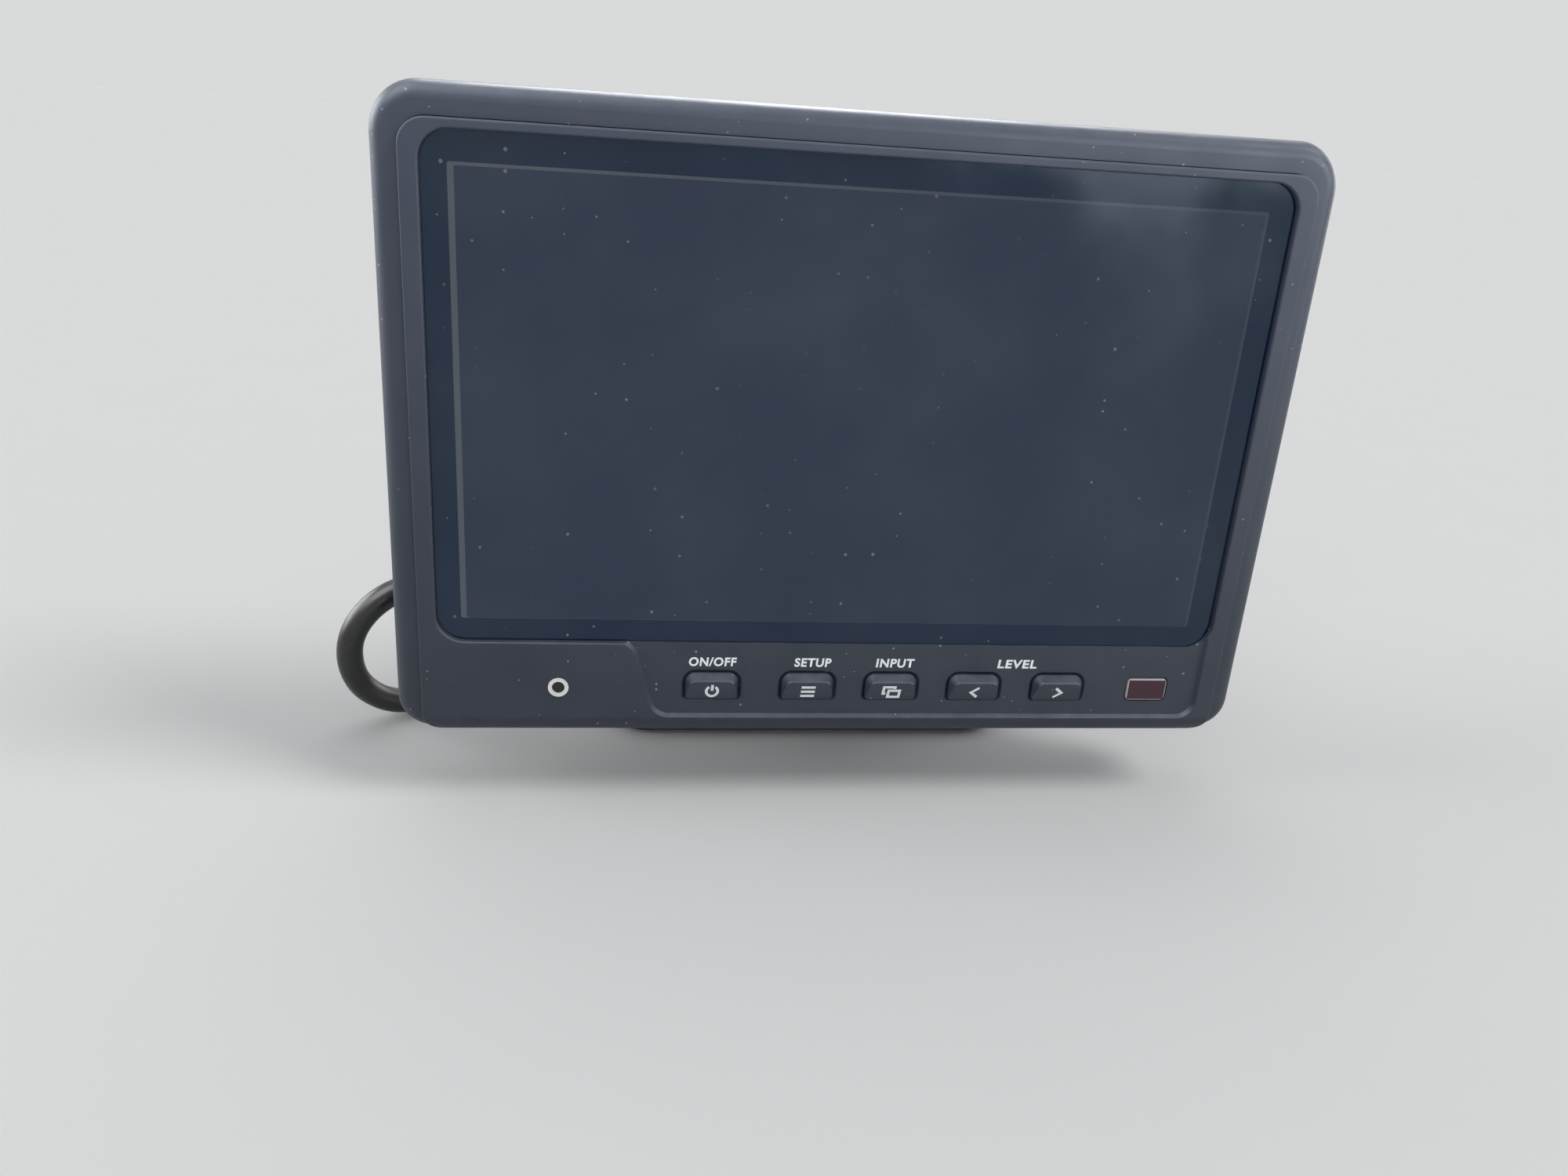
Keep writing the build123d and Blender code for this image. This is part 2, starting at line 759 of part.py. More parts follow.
pieces = {
    "front_bezel": front_bezel(),
    "rear_housing": rear_housing(),
    "cover_glass": cover_glass(),
    "display_panel": display_panel(),
    "circuit_board": circuit_board(),
    "speaker": speaker(),
    "infrared_window": infrared_window(),
    "light_sensor_ring": ring,
    "light_sensor_lens": lens,
    "mount_socket": mount_socket(),
    "slide_plate": slide_plate(),
    "cable_boot": cable_boot(),
    "base_plate": base_plate(),
    "base_pad": base_pad(),
    "stand_post": stand_post(),
    "tilt_bolt": bolt,
    "left_washer": left_washer,
    "right_washer": right_washer,
    "lock_nut": nut,
    "clamp_knob": knob,
    "lead": tube(lead_points(), lead_r),
    "lead_coil": lead_coil(),
    "lead_tail": tube(tail_points(), lead_r),
    "connector_grip": plug_grip,
    "connector_shell": plug_shell,
    "connector_contacts": plug_contacts,
}
for name, x in key_places.items():
    pieces[name] = key(x)
for name, solid in pieces.items():
    save(name, solid)
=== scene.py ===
import json
import math

import bpy
from mathutils import Matrix, Vector
from mathutils.bvhtree import BVHTree


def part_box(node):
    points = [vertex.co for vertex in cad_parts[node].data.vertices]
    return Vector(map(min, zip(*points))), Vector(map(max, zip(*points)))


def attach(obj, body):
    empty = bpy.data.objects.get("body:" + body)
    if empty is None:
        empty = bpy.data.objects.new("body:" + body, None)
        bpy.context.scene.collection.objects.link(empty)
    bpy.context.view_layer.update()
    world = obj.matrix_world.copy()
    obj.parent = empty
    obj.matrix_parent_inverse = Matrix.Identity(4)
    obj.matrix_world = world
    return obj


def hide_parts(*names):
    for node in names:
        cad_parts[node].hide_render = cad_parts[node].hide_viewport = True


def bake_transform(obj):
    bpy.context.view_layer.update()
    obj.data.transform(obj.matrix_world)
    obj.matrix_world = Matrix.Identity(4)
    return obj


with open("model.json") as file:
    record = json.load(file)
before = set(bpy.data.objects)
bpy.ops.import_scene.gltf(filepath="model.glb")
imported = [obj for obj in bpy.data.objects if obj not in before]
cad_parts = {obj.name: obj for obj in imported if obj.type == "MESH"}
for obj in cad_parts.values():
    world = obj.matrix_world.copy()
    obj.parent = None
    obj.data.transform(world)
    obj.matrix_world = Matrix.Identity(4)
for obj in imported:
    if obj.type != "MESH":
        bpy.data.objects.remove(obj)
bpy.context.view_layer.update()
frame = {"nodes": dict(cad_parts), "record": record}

# A dashboard monitor for a rear-view camera, on its tilting stand, with its lead.
# Lengths are in metres, and MM turns millimetres into them. x is right, y is back and z is up.
MM = 0.001
FRONT_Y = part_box("front_bezel")[0][1]
PANEL_LOW, PANEL_HIGH = (Vector(corner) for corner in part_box("display_panel"))
SCREEN = Vector(((PANEL_LOW.x + PANEL_HIGH.x) / 2, FRONT_Y, (PANEL_LOW.z + PANEL_HIGH.z) / 2))


def on_screen(x, depth, height):
    """Point in metres from millimetres right of, behind and above the middle of the screen."""
    return SCREEN + Vector((x, depth, height)) * MM


# Camera: the photograph's view, solved from the corners of the screen's printed opening
IMAGE_WIDTH = 2000
FOCAL_PIXELS = 1557.3
SENSOR_WIDTH = 36.0
CLIP_START = 0.01
EYE = on_screen(-47.0, -231.0, 54.7)
LOOK = Vector((0.1374, 0.9231, -0.3592))
UP = Vector((-0.0164, 0.3647, 0.9310))


def make_camera():
    """Camera at the photograph's viewing angle."""
    data = bpy.data.cameras.new("camera")
    data.sensor_width = SENSOR_WIDTH
    data.lens = FOCAL_PIXELS / IMAGE_WIDTH * SENSOR_WIDTH
    data.clip_start = CLIP_START
    camera = bpy.data.objects.new("camera", data)
    bpy.context.scene.collection.objects.link(camera)
    back = -LOOK.normalized()
    right = UP.cross(back).normalized()
    up = back.cross(right)
    turn = Matrix((right, up, back)).transposed().to_4x4()
    camera.matrix_world = Matrix.Translation(EYE) @ turn
    bpy.context.scene.camera = camera


# Lead: the same route as the solid's, as x, depth behind the bezel's front and height
LEAD_R = 2.9
LEAD_ROUTE = [
    (-66.0, 40.0, 34.5),
    (-81.0, 40.0, 34.5),
    (-96.0, 32.5, 35.8),
    (-106.2, 30.0, 25.8),
    (-106.4, 33.0, 11.4),
    (-97.5, 38.5, LEAD_R),
    (-86.0, 49.0, LEAD_R),
    (-76.5, 65.0, LEAD_R),
    (-70.0, 84.0, LEAD_R),
    (-62.0, 104.0, LEAD_R),
    (-50.0, 122.0, LEAD_R),
    (-39.5, 138.0, LEAD_R),
]
# Coil: its centre, as x and depth, its radius at the middle, its turns and the points in each.
# The last fifth of each turn leads over to the next lane.
COIL_CENTRE = (0.0, 160.0)
COIL_R = 33.0
COIL_TURNS = 3.5
COIL_POINTS = 24
COIL_CROSSING = 0.2
# Tail, from the coil to the connector
TAIL_ROUTE = [
    (37.5, 148.0, 7.8),
    (45.0, 140.5, 6.4),
    (53.5, 135.5, 6.6),
    (58.0, 128.0, 8.0),
    (58.0, 120.0, 8.0),
]
# Steps along the curve between two points, its order, and the tube's roundness
CURVE_STEPS = 8
CURVE_ORDER = 3
TUBE_ROUNDNESS = 6


def coil_points():
    """The coil's turns, clockwise from above: two side by side below and two above."""
    inner, outer = COIL_R - LEAD_R, COIL_R + LEAD_R
    lanes = [(outer, LEAD_R), (inner, LEAD_R), (inner, 3 * LEAD_R), (outer, 3 * LEAD_R)]
    points = []
    for step in range(int(COIL_TURNS * COIL_POINTS) + 1):
        turns = step / COIL_POINTS
        lane = int(turns)
        share = max(0.0, (turns - lane - 1 + COIL_CROSSING) / COIL_CROSSING)
        share = share * share * (3 - 2 * share)
        here = lanes[lane]
        after = lanes[min(lane + 1, len(lanes) - 1)]
        radius = here[0] + (after[0] - here[0]) * share
        height = here[1] + (after[1] - here[1]) * share
        angle = math.pi - 2 * math.pi * turns
        x = COIL_CENTRE[0] + radius * math.cos(angle)
        depth = COIL_CENTRE[1] + radius * math.sin(angle)
        points.append((x, depth, height))
    return points


def route_spline(name, points):
    """Smooth curve with the route's points as its control points."""
    data = bpy.data.curves.new(name, "CURVE")
    data.dimensions = "3D"
    data.resolution_u = CURVE_STEPS
    data.use_fill_caps = True
    spline = data.splines.new("NURBS")
    spline.points.add(len(points) - 1)
    for target, (x, depth, z) in zip(spline.points, points):
        target.co = (x * MM, FRONT_Y + depth * MM, z * MM, 1)
    spline.order_u = CURVE_ORDER
    spline.use_endpoint_u = True
    curve = bpy.data.objects.new(name, data)
    bpy.context.scene.collection.objects.link(curve)
    return curve


def evaluated_mesh(source):
    """The mesh that an object shows, with its modifiers."""
    bpy.context.view_layer.update()
    depsgraph = bpy.context.evaluated_depsgraph_get()
    return bpy.data.meshes.new_from_object(source.evaluated_get(depsgraph))


def make_lead():
    """The lead as one tube along its route, round the coil to the connector."""
    curve = route_spline("lead_route", LEAD_ROUTE + coil_points() + TAIL_ROUTE)
    path = [tuple(vertex.co) for vertex in evaluated_mesh(curve).vertices]
    curve.data.bevel_depth = LEAD_R * MM
    curve.data.bevel_resolution = TUBE_ROUNDNESS
    tube = evaluated_mesh(curve)
    bpy.data.objects.remove(curve)
    for polygon in tube.polygons:
        polygon.use_smooth = True
    lead = bpy.data.objects.new("lead_cord", tube)
    bpy.context.scene.collection.objects.link(lead)
    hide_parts("lead", "lead_coil", "lead_tail")
    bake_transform(lead)
    tube.materials.append(MATERIALS["lead_rubber"])


# Most of a noise's values lie between these two
NOISE_LOW, NOISE_HIGH = 0.3, 0.7

# Specks: the share of cells that have none, and on upright faces how rare large ones are,
# how soft an edge is and how much of its strength the largest keeps
BARE_CELLS = 0.55
UPRIGHT_BARE_CELLS = 0.50
SPECK_RARITY = 1.6
SPECK_EDGE_MM = 0.12
LARGEST_SPECK = 0.45


class Shade:
    """A procedural material under construction, in the part's own coordinates."""

    def __init__(self, name):
        self.material = bpy.data.materials.new(name)
        self.material.use_nodes = True
        self.tree = self.material.node_tree
        self.bsdf = self.tree.nodes["Principled BSDF"]
        coordinates = self.tree.nodes.new("ShaderNodeTexCoord").outputs
        self.place = coordinates["Object"]
        self.facing = coordinates["Normal"]

    def fix(self, **values):
        """Constant values on the shader's own sockets."""
        for socket, value in values.items():
            self.bsdf.inputs[socket.replace("_", " ")].default_value = value

    def to(self, socket, source):
        """Link a source to one of the shader's sockets."""
        self.tree.links.new(source, self.bsdf.inputs[socket])

    def add(self, kind, links, **values):
        """A node with its values set and its inputs linked."""
        node = self.tree.nodes.new(kind)
        for socket, value in values.items():
            node.inputs[socket.replace("_", " ")].default_value = value
        for socket, source in links.items():
            self.tree.links.new(source, node.inputs[socket])
        return node

    def noise(self, size_mm, detail=2.0, roughness=0.5):
        """Noise between 0 and 1 whose blobs are about that many millimetres across."""
        return self.add("ShaderNodeTexNoise", {"Vector": self.place}, Scale=1 / (size_mm * MM),
                        Detail=detail, Roughness=roughness).outputs["Fac"]

    def cells(self, place, spacing_mm, dimensions):
        """Scattered points: how far the nearest one is, in cells, and a chance of its own."""
        node = self.add("ShaderNodeTexVoronoi", {"Vector": place}, Scale=1 / (spacing_mm * MM))
        node.voronoi_dimensions = dimensions
        channels = self.add("ShaderNodeSeparateColor", {"Color": node.outputs["Color"]}).outputs
        return node.outputs["Distance"], channels[0]

    def specks(self, spacing_mm, radius_mm):
        """1 inside scattered round specks of uneven size, and 0 elsewhere."""
        distance, chance = self.cells(self.place, spacing_mm, "3D")
        size = self.ramp(chance, BARE_CELLS, 1.0, 0.0, radius_mm / spacing_mm)
        return self.maths("LESS_THAN", distance, size)

    def upright_specks(self, spacing_mm, radius_mm):
        """Specks on an upright face, soft at the edge: the larger, the fainter."""
        flat = self.add("ShaderNodeCombineXYZ", {"X": self.part_of(self.place, "X"),
                                                 "Y": self.part_of(self.place, "Z")}).outputs[0]
        distance, chance = self.cells(flat, spacing_mm, "2D")
        spread = self.ramp(chance, UPRIGHT_BARE_CELLS, 1.0)
        large = self.maths("POWER", spread, SPECK_RARITY)
        size = self.ramp(large, 0.0, 1.0, 0.0, radius_mm / spacing_mm)
        depth = self.maths("SUBTRACT", size, distance)
        inside = self.ramp(depth, 0.0, SPECK_EDGE_MM / spacing_mm)
        return self.maths("MULTIPLY", inside, self.ramp(large, 0.0, 1.0, 1.0, LARGEST_SPECK))

    def ramp(self, source, low, high, low_value=0.0, high_value=1.0):
        """Source stretched so that low and high give those two values."""
        return self.add("ShaderNodeMapRange", {"Value": source}, From_Min=low, From_Max=high,
                        To_Min=low_value, To_Max=high_value).outputs["Result"]

    def vary(self, noise, low_value, high_value):
        """Noise stretched so that its usual range gives those two values."""
        return self.ramp(noise, NOISE_LOW, NOISE_HIGH, low_value, high_value)

    def uneven_gloss(self, size_mm, roughness, smoother, rougher, detail=3.0):
        """Roughness that gets up to that much smoother and rougher, in patches of that size."""
        patches = self.noise(size_mm, detail)
        self.to("Roughness", self.vary(patches, roughness - smoother, roughness + rougher))

    def maths(self, operation, first, second=0.0):
        """Two values or sockets combined."""
        node = self.tree.nodes.new("ShaderNodeMath")
        node.operation = operation
        for socket, value in zip(node.inputs, (first, second)):
            if isinstance(value, (int, float)):
                socket.default_value = value
            else:
                self.tree.links.new(value, socket)
        return node.outputs[0]

    def part_of(self, vector, axis):
        """The x, y or z of a vector."""
        return self.add("ShaderNodeSeparateXYZ", {"Vector": vector}).outputs[axis]

    def colour(self, share, low, high):
        """Mix of two colours by a share. A colour may also be a socket."""
        node = self.tree.nodes.new("ShaderNodeMix")
        node.data_type = "RGBA"
        for socket, value in (("A", low), ("B", high)):
            if isinstance(value, tuple):
                node.inputs[socket].default_value = (*value, 1)
            else:
                self.tree.links.new(value, node.inputs[socket])
        self.tree.links.new(share, node.inputs["Factor"])
        return node.outputs["Result"]

    def bump(self, height, depth_mm):
        """Relief of that depth on the shader's normal."""
        node = self.add("ShaderNodeBump", {"Height": height}, Strength=1.0, Distance=depth_mm * MM)
        self.to("Normal", node.outputs["Normal"])


def times(colour, share):
    """The same colour, lighter or darker."""
    return tuple(channel * share for channel in colour)


# Tones that several materials share
DUST = (0.15, 0.16, 0.185)
SPECKS = (0.36, 0.36, 0.35)
SKY_TINT = (0.80, 0.88, 1.0, 1)
GLASS_TINT = (0.68, 0.84, 1.0, 1)

# Each material's values come just before it. A name that ends in GLOSS is how much smoother
# and rougher the material gets, and one that ends in RAMP is low, high and the values they give.

# Moulded plastic: wear, a film of dust that is thinner on upright faces, mottling, grain,
# specks, and the heights between which painted light makes the plastic lighter and bluer
WEAR_MM, FILM_MM, MOTTLE_MM, GRAIN_MM = 14.0, 5.0, 30.0, 0.35
WEAR_GLOSS = (0.06, 0.08)
FILM_RAMP = (0.35, 0.70, 0.3, 1.0)
UPRIGHT_RAMP = (0.0, 1.0, 0.12, 1.0)
MOTTLE_RAMP = (0.0, 1.0, 0.0, 0.05)
SPECK_SPACING_MM, SPECK_R_MM = 2.0, 0.26
SPECK_STRENGTH = 0.6
TOP_LIGHT_LOW, TOP_LIGHT_HIGH = SCREEN.z - 58 * MM, SCREEN.z + 52 * MM


def moulded_plastic(name, base, roughness=0.5, relief_mm=0.012, dust=0.35, painted_top_light=None):
    """Moulded plastic: spark-eroded grain, uneven gloss, and dust that settles on what faces up.

    Given a second colour it also fades to it towards the monitor's top: painted light that makes
    the upper faces lighter and bluer."""
    shade = Shade(name)
    shade.fix(Specular_Tint=SKY_TINT)
    # Painted light: the colour fades lighter and bluer towards the monitor's top
    if painted_top_light:
        height = shade.ramp(shade.part_of(shade.place, "Z"), TOP_LIGHT_LOW, TOP_LIGHT_HIGH)
        base = shade.colour(height, base, painted_top_light)
    shade.uneven_gloss(WEAR_MM, roughness, *WEAR_GLOSS, detail=4.0)
    # The film lightens faces that look up. It is dust, and on the keys, with their larger share,
    # also painted light on their top slopes
    film = shade.ramp(shade.noise(FILM_MM, detail=5.0, roughness=0.6), *FILM_RAMP)
    up = shade.ramp(shade.part_of(shade.facing, "Z"), *UPRIGHT_RAMP)
    film = shade.maths("MULTIPLY", shade.maths("MULTIPLY", film, up), dust)
    patches = shade.ramp(shade.noise(MOTTLE_MM, detail=3.0), *MOTTLE_RAMP)
    dusty = shade.colour(film, shade.colour(patches, base, DUST), DUST)
    specks = shade.specks(SPECK_SPACING_MM, SPECK_R_MM)
    specks = shade.maths("MULTIPLY", specks, SPECK_STRENGTH)
    shade.to("Base Color", shade.colour(specks, dusty, SPECKS))
    shade.bump(shade.noise(GRAIN_MM, detail=1.0), relief_mm)
    return shade.material


# Powder coat: roughness, patches, dust on what faces up, and orange peel
COAT_ROUGHNESS = 0.45
COAT_GLOSS = (0.05, 0.07)
COAT_MM, COAT_DUST_MM, COAT_PEEL_MM = 9.0, 16.0, 0.5
COAT_UP_RAMP = (0.6, 1.0, 0.0, 0.10)
COAT_DUST_RAMP = (0.25, 0.80, 0.0, 1.0)
COAT_LIGHTER = 1.2
COAT_RELIEF_MM = 0.02


def coated_metal(name, base):
    """Powder coat: a fine orange-peel relief with a little dust on top."""
    shade = Shade(name)
    shade.uneven_gloss(COAT_MM, COAT_ROUGHNESS, *COAT_GLOSS)
    up = shade.ramp(shade.part_of(shade.facing, "Z"), *COAT_UP_RAMP)
    film = shade.ramp(shade.noise(COAT_DUST_MM, detail=5.0), *COAT_DUST_RAMP)
    film = shade.maths("MULTIPLY", up, film)
    coat = shade.colour(shade.noise(COAT_MM, detail=4.0), base, times(base, COAT_LIGHTER))
    shade.to("Base Color", shade.colour(film, coat, DUST))
    shade.bump(shade.noise(COAT_PEEL_MM), COAT_RELIEF_MM)
    return shade.material


# Plated steel: patches of gloss and of a darker colour, and tool marks
PLATE_GLOSS_MM, PLATE_COLOUR_MM, PLATE_MARK_MM = 0.7, 3.0, 0.2
PLATE_GLOSS = (0.07, 0.12)
PLATE_DARKER = 0.8
PLATE_RELIEF_MM = 0.004


def bare_metal(name, base, roughness):
    """Plated steel with faint machining variation."""
    shade = Shade(name)
    shade.fix(Metallic=1.0)
    shade.uneven_gloss(PLATE_GLOSS_MM, roughness, *PLATE_GLOSS)
    patches = shade.noise(PLATE_COLOUR_MM, detail=3.0)
    shade.to("Base Color", shade.colour(patches, base, times(base, PLATE_DARKER)))
    shade.bump(shade.noise(PLATE_MARK_MM), PLATE_RELIEF_MM)
    return shade.material


# Rubber: its two blacks, patches of gloss and of colour, and its skin
RUBBER_DARK, RUBBER_LIGHT = (0.010, 0.010, 0.011), (0.024, 0.024, 0.025)
RUBBER_GLOSS_MM, RUBBER_COLOUR_MM, RUBBER_SKIN_MM = 6.0, 2.5, 0.4
RUBBER_GLOSS = (0.05, 0.10)
RUBBER_RELIEF_MM = 0.006


def jacket_rubber(name, roughness):
    """Smooth black cable jacket with a soft shine."""
    shade = Shade(name)
    shade.uneven_gloss(RUBBER_GLOSS_MM, roughness, *RUBBER_GLOSS)
    patches = shade.noise(RUBBER_COLOUR_MM, detail=4.0)
    shade.to("Base Color", shade.colour(patches, RUBBER_DARK, RUBBER_LIGHT))
    shade.bump(shade.noise(RUBBER_SKIN_MM), RUBBER_RELIEF_MM)
    return shade.material


# Glass and the display's layers: smudges, and specks of dust that lie in patches
GLASS_IOR, MIRROR_IOR = 1.5, 1.55
GLASS_ROUGHNESS = (0.02, 0.06)
GLASS_SMUDGE_MM, SMUDGE_MM, DUST_PATCH_MM = 30.0, 26.0, 38.0
SMUDGE_ROUGHNESS_RAMP = (0.35, 0.70, 0.04, 0.16)
SMUDGE_TINT_RAMP = (0.40, 0.75, 0.0, 0.03)
DUST_PATCH_RAMP = (0.40, 0.62, 0.10, 0.80)
DISPLAY_HALF = 76 * MM
DUST_SPACING_MM, DUST_R_MM = 5.6, 0.42


def clear_glass(name):
    """Clear body of the front glass. Its mirror and its dust are on the display's layers."""
    shade = Shade(name)
    shade.fix(Transmission_Weight=1.0, IOR=GLASS_IOR)
    shade.to("Roughness", shade.vary(shade.noise(GLASS_SMUDGE_MM), *GLASS_ROUGHNESS))
    return shade.material


def dark_mirror(name, base, right=None):
    """Layer seen through the glass: the glass's bluish mirror, with faint smudges and dust.

    Where a second colour is given, it is the one at the display's right: painted shade that
    darkens the layer from left to right."""
    shade = Shade(name)
    shade.fix(IOR=MIRROR_IOR, Specular_Tint=GLASS_TINT)
    # Painted shade: darker from the display's left to its right
    if right:
        left_edge, right_edge = SCREEN.x - DISPLAY_HALF, SCREEN.x + DISPLAY_HALF
        across = shade.ramp(shade.part_of(shade.place, "X"), left_edge, right_edge)
        base = shade.colour(across, base, right)
    smudge = shade.noise(SMUDGE_MM, detail=3.0)
    shade.to("Roughness", shade.ramp(smudge, *SMUDGE_ROUGHNESS_RAMP))
    colour = shade.colour(shade.ramp(smudge, *SMUDGE_TINT_RAMP), base, SPECKS)
    patches = shade.ramp(shade.noise(DUST_PATCH_MM, detail=1.0), *DUST_PATCH_RAMP)
    specks = shade.upright_specks(DUST_SPACING_MM, DUST_R_MM)
    dust = shade.maths("MULTIPLY", specks, patches)
    shade.to("Base Color", shade.colour(dust, colour, SPECKS))
    return shade.material


# Infrared filter: its painted rim highlight, how soft the highlight's inner edge is, and its
# patches
RIM_HIGHLIGHT_MM = 0.30
RIM_HIGHLIGHT_EDGE_MM = 0.06
FILTER_PATCH_MM = 1.2
FILTER_ROUGHNESS = (0.10, 0.22)


def rimmed_filter(name, node_name, base, rim_highlight):
    """Dark filter with a painted highlight: a light rim where its moulded edge catches light."""
    shade = Shade(name)
    low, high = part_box(node_name)
    shares = []
    for axis, index in (("X", 0), ("Z", 2)):
        middle = (low[index] + high[index]) / 2
        start = (high[index] - low[index]) / 2 - RIM_HIGHLIGHT_MM * MM
        off = shade.maths("SUBTRACT", shade.part_of(shade.place, axis), middle)
        off = shade.maths("ABSOLUTE", off)
        shares.append(shade.ramp(off, start, start + RIM_HIGHLIGHT_EDGE_MM * MM))
    edge = shade.maths("MAXIMUM", *shares)
    # Painted highlight: a light rim along the filter's edge
    shade.to("Base Color", shade.colour(edge, base, rim_highlight))
    shade.to("Roughness", shade.vary(shade.noise(FILTER_PATCH_MM), *FILTER_ROUGHNESS))
    return shade.material


# Small pieces: the size of their patches, and how far the patches vary
PLAIN_PATCH_MM = 2.0
PLAIN_SPREAD = 0.1


def plain_shade(name, base, roughness):
    """Small smooth piece with a slight variation in colour and gloss."""
    shade = Shade(name)
    patches = shade.noise(PLAIN_PATCH_MM)
    shade.to("Roughness", shade.vary(patches, roughness * (1 - PLAIN_SPREAD),
                                     roughness * (1 + PLAIN_SPREAD)))
    shade.to("Base Color", shade.colour(patches, base, times(base, 1 - PLAIN_SPREAD)))
    return shade.material


# Each slot's and each print's material: the function that makes it, and its values
FINISHES = {
    # The bezel's and the housing's second colours are painted light, lighter and bluer at the top
    "bezel_plastic": (moulded_plastic, dict(base=(0.013, 0.017, 0.029),
                                            painted_top_light=(0.036, 0.045, 0.074))),
    "housing_plastic": (moulded_plastic, dict(base=(0.019, 0.023, 0.034), roughness=0.44,
                                              painted_top_light=(0.041, 0.049, 0.076))),
    # On the keys the thick film on what faces up is dust and also painted light on their top
    # slopes
    "keys": (moulded_plastic, dict(base=(0.026, 0.033, 0.052), roughness=0.42, relief_mm=0.006,
                                   dust=0.60)),
    "cover_glass": (clear_glass, {}),
    "display_panel": (dark_mirror, dict(base=(0.020, 0.027, 0.053))),
    "circuit_board": (plain_shade, dict(base=(0.02, 0.11, 0.05), roughness=0.3)),
    "speaker": (plain_shade, dict(base=(0.02, 0.02, 0.02), roughness=0.6)),
    # The filter's light rim colour is a painted highlight
    "infrared_filter": (rimmed_filter, dict(node_name="infrared_window",
                                            base=(0.046, 0.011, 0.024), rim_highlight=(0.40, 0.38, 0.39))),
    "sensor_ring": (plain_shade, dict(base=(0.80, 0.80, 0.78), roughness=0.3)),
    "sensor_lens": (plain_shade, dict(base=(0.01, 0.01, 0.012), roughness=0.08)),
    "bracket_metal": (coated_metal, dict(base=(0.028, 0.028, 0.030))),
    "base_metal": (coated_metal, dict(base=(0.030, 0.030, 0.032))),
    "pad_foam": (moulded_plastic, dict(base=(0.018, 0.018, 0.018), roughness=0.85,
                                       relief_mm=0.05)),
    "hardware_steel": (bare_metal, dict(base=(0.30, 0.30, 0.30), roughness=0.44)),
    "knob_plastic": (moulded_plastic, dict(base=(0.022, 0.022, 0.024), roughness=0.45)),
    "lead_rubber": (jacket_rubber, dict(roughness=0.30)),
    "strap_rubber": (jacket_rubber, dict(roughness=0.55)),
    "connector_metal": (bare_metal, dict(base=(0.75, 0.74, 0.70), roughness=0.2)),
    "connector_insert": (plain_shade, dict(base=(0.02, 0.02, 0.02), roughness=0.4)),
    "print_white": (plain_shade, dict(base=(0.93, 0.94, 0.96), roughness=0.5)),
    "print_black": (dark_mirror, dict(base=(0.002, 0.009, 0.031))),
    # The panel frame's darker right is painted shade
    "panel_frame": (dark_mirror, dict(base=(0.080, 0.090, 0.108), right=(0.035, 0.044, 0.064))),
}
MATERIALS = {name: make(name, **values) for name, (make, values) in FINISHES.items()}


def dress_nodes():
    """Each CAD node takes the material of its slot."""
    for part in frame["record"]["subparts"]:
        node = frame["nodes"][part["node"]]
        for material_slot in node.material_slots:
            material_slot.material = MATERIALS[part["material_slot"]]


def finish_piece(piece, body, slot, material=None):
    """Material of a new piece, by default its slot's, and the body it hangs from."""
    piece.data.materials.clear()
    piece.data.materials.append(MATERIALS[material or slot])
    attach(piece, body)


def mesh_object(name, vertices, faces, smooth=False):
    """Object from lists of vertices and faces."""
    mesh = bpy.data.meshes.new(name)
    mesh.from_pydata([tuple(vertex) for vertex in vertices], [], faces)
    mesh.update()
    for polygon in mesh.polygons:
        polygon.use_smooth = smooth
    made = bpy.data.objects.new(name, mesh)
    bpy.context.scene.collection.objects.link(made)
    return made


def band(first, second, count):
    """Faces between two loops of that many vertices, each given by its first vertex."""
    return [(first + i, first + (i + 1) % count, second + (i + 1) % count, second + i)
            for i in range(count)]


# Steps along the arc of a round corner
CORNER_STEPS = 6


def rounded_outline(edges, radius):
    """Points anticlockwise round a rectangle with round corners."""
    left, bottom, right, top = edges
    centres = [(right - radius, top - radius), (left + radius, top - radius),
               (left + radius, bottom + radius), (right - radius, bottom + radius)]
    points = []
    for quarter, (x, y) in enumerate(centres):
        for step in range(CORNER_STEPS + 1):
            angle = math.radians(90 * (quarter + step / CORNER_STEPS))
            points.append((x + radius * math.cos(angle), y + radius * math.sin(angle)))
    return points


# Display as it shows on the glass: a black border, the panel's light frame and the dark screen.
# Edges are left, bottom, right and top, in millimetres from the middle of the screen.
WINDOW_EDGES = (-82.2, -48.0, 82.2, 49.1)
WINDOW_CORNER = 5.5
PRINT_EDGES = (-77.45, -43.2, 76.9, 43.65)
SCREEN_EDGES = (-76.3, -43.15, 76.3, 43.05)
DISPLAY_CORNER = 0.4
DISPLAY_DEPTH = 1.28


def display_loop(edges, radius):
    """Rounded outline just behind the glass."""
    return [on_screen(x, DISPLAY_DEPTH, height) for x, height in rounded_outline(edges, radius)]


def make_display():
    """Printed border, panel frame and screen, all with the glass's own mirror."""
    window = display_loop(WINDOW_EDGES, WINDOW_CORNER)
    opening = display_loop(PRINT_EDGES, DISPLAY_CORNER)
    screen = display_loop(SCREEN_EDGES, DISPLAY_CORNER)
    ring = band(0, len(screen), len(screen))
    border = mesh_object("glass_border_print", window + opening, ring)
    finish_piece(border, "monitor", "cover_glass", "print_black")
    panel_frame = mesh_object("panel_frame", opening + screen, ring)
    finish_piece(panel_frame, "monitor", "display_panel", "panel_frame")
    face = mesh_object("screen_face", screen, [tuple(range(len(screen)))])
    finish_piece(face, "monitor", "display_panel")


# Rays that look for a surface start before or behind the head, this far behind the bezel's front
RAY_FRONT, RAY_BACK = -20.0, 60.0
PRINT_T = 0.03

